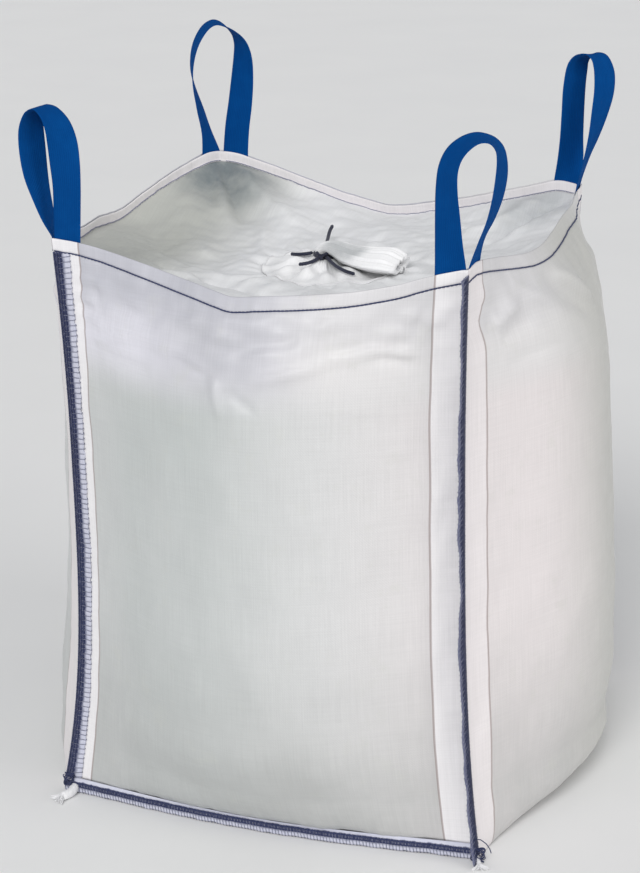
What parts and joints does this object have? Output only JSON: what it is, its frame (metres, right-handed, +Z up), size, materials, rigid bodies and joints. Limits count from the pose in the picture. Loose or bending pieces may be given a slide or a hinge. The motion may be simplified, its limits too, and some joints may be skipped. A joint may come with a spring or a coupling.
{
  "type": "bulk bag of grit",
  "caption": "Filled woven bulk bag standing on the floor, with webbing corner loops and a tied filling spout in its sunken top.",
  "frame": {"origin": "middle of the base, at floor level", "axes": "+Z up; -Y is the front, the side with a seam along its bottom; +X is the right side seen from the front"},
  "size_m": [1.2437, 1.2353, 1.5264],
  "materials": {
    "grit": "loose grit",
    "woven_cloth": "white woven polypropylene",
    "spout_cloth": "thin woven polypropylene",
    "tie_cord": "braided cord",
    "webbing": "woven webbing",
    "seam_thread": "overlocked seam"
  },
  "bodies": {
    "root": {"grit_fill": "grit", "u_panel": "woven_cloth", "front_panel": "woven_cloth", "back_panel": "woven_cloth", "top_panel": "woven_cloth", "fill_spout": "spout_cloth", "spout_tie": "tie_cord", "tie_end_back": "tie_cord", "tie_end_left": "tie_cord", "tie_end_right": "tie_cord", "tie_end_front": "tie_cord", "lift_loop_fl": "webbing", "lift_loop_fr": "webbing", "lift_loop_br": "webbing", "lift_loop_bl": "webbing", "corner_seam_fl": "seam_thread", "corner_seam_fr": "seam_thread", "corner_seam_br": "seam_thread", "corner_seam_bl": "seam_thread", "base_seam_front": "seam_thread", "base_seam_back": "seam_thread"}
  },
  "joints": []
}
